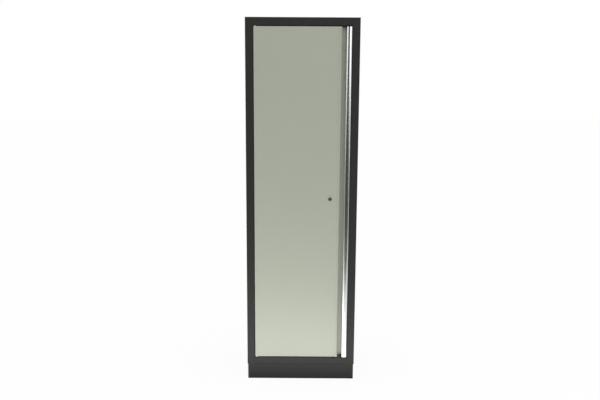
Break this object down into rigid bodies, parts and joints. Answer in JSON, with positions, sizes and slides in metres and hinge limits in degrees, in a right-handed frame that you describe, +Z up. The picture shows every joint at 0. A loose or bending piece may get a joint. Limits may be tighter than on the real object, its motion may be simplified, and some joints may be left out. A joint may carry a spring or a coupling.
{
  "type": "tool chest side locker",
  "caption": "Tall workshop side locker in folded sheet steel: hinged door with a full-height finger pull, key lock that drives bolt rods, shelves on slotted uprights, set-back plinth.",
  "frame": {"origin": "on the floor under the middle of the whole locker", "axes": "+Z up, front with the door towards -Y, hinges on the -X side"},
  "size_m": [0.6, 0.464, 2],
  "materials": {
    "charcoal_paint": "satin powder coat with a fine orange peel",
    "silver_paint": "satin silver-grey powder coat",
    "bright_aluminium": "bright anodised extrusion",
    "black_plastic": "moulded, matt",
    "zinc_steel": "zinc plated",
    "dark_nickel": "dark nickel plate, half bright",
    "white_nylon": "natural nylon",
    "black_rubber": "matt"
  },
  "bodies": {
    "cabinet": {"left_side_panel": "charcoal_paint", "right_side_panel": "charcoal_paint", "back_panel": "charcoal_paint", "top_panel": "charcoal_paint", "floor_panel": "charcoal_paint", "plinth_front_rail": "charcoal_paint", "plinth_back_rail": "charcoal_paint", "plinth_left_rail": "charcoal_paint", "plinth_right_rail": "charcoal_paint", "hinge_pin_top": "zinc_steel", "hinge_pin_bottom": "zinc_steel", "door_buffer_top": "black_rubber", "door_buffer_bottom": "black_rubber", "catch_magnet": "black_plastic", "shelf_upright_front_left": "charcoal_paint", "shelf_upright_front_right": "charcoal_paint", "shelf_upright_rear_left": "charcoal_paint", "shelf_upright_rear_right": "charcoal_paint", "shelf_1": "charcoal_paint", "shelf_2": "charcoal_paint", "shelf_3": "charcoal_paint", "shelf_4": "charcoal_paint", "shelf_clip_1_front_left": "zinc_steel", "shelf_clip_1_front_right": "zinc_steel", "shelf_clip_1_rear_left": "zinc_steel", "shelf_clip_1_rear_right": "zinc_steel", "shelf_clip_2_front_left": "zinc_steel", "shelf_clip_2_front_right": "zinc_steel", "shelf_clip_2_rear_left": "zinc_steel", "shelf_clip_2_rear_right": "zinc_steel", "shelf_clip_3_front_left": "zinc_steel", "shelf_clip_3_front_right": "zinc_steel", "shelf_clip_3_rear_left": "zinc_steel", "shelf_clip_3_rear_right": "zinc_steel", "shelf_clip_4_front_left": "zinc_steel", "shelf_clip_4_front_right": "zinc_steel", "shelf_clip_4_rear_left": "zinc_steel", "shelf_clip_4_rear_right": "zinc_steel"},
    "door": {"door_skin": "silver_paint", "door_stiffener": "silver_paint", "handle_channel": "silver_paint", "handle_grip": "bright_aluminium", "handle_cap_top": "black_plastic", "handle_cap_bottom": "black_plastic", "hinge_bracket_top": "zinc_steel", "hinge_bracket_bottom": "zinc_steel", "hinge_bush_top": "white_nylon", "hinge_bush_bottom": "white_nylon", "rod_guide_upper_end": "zinc_steel", "rod_guide_upper_inner": "zinc_steel", "rod_guide_lower_inner": "zinc_steel", "rod_guide_lower_end": "zinc_steel", "lock_barrel": "dark_nickel", "lock_nut": "zinc_steel", "catch_strike": "zinc_steel"},
    "lock_cylinder": {"lock_plug": "dark_nickel", "lock_driver": "zinc_steel", "driver_screw": "zinc_steel"},
    "upper_rod": {"upper_lock_rod": "zinc_steel"},
    "lower_rod": {"lower_lock_rod": "zinc_steel"}
  },
  "joints": [
    {"name": "door_hinge", "type": "hinge", "parent": "cabinet", "child": "door", "pos_m": [-0.247, -0.2195, 1], "axis": [0, 0, -1], "range_deg": [0, 105]},
    {"name": "lock_turn", "type": "hinge", "parent": "door", "child": "lock_cylinder", "pos_m": [0.153, -0.228, 1.042], "axis": [0, 1, 0], "range_deg": [0, 90]},
    {"name": "upper_rod_slide", "type": "slide", "parent": "door", "child": "upper_rod", "axis": [0, 0, 1], "range_m": [0, 0.023]},
    {"name": "lower_rod_slide", "type": "slide", "parent": "door", "child": "lower_rod", "axis": [0, 0, -1], "range_m": [0, 0.023]}
  ],
  "couplings": [
    {"joint": "upper_rod_slide", "follows": "lock_turn", "m_per_rad": 0.014405},
    {"joint": "lower_rod_slide", "follows": "lock_turn", "m_per_rad": 0.014405}
  ]
}
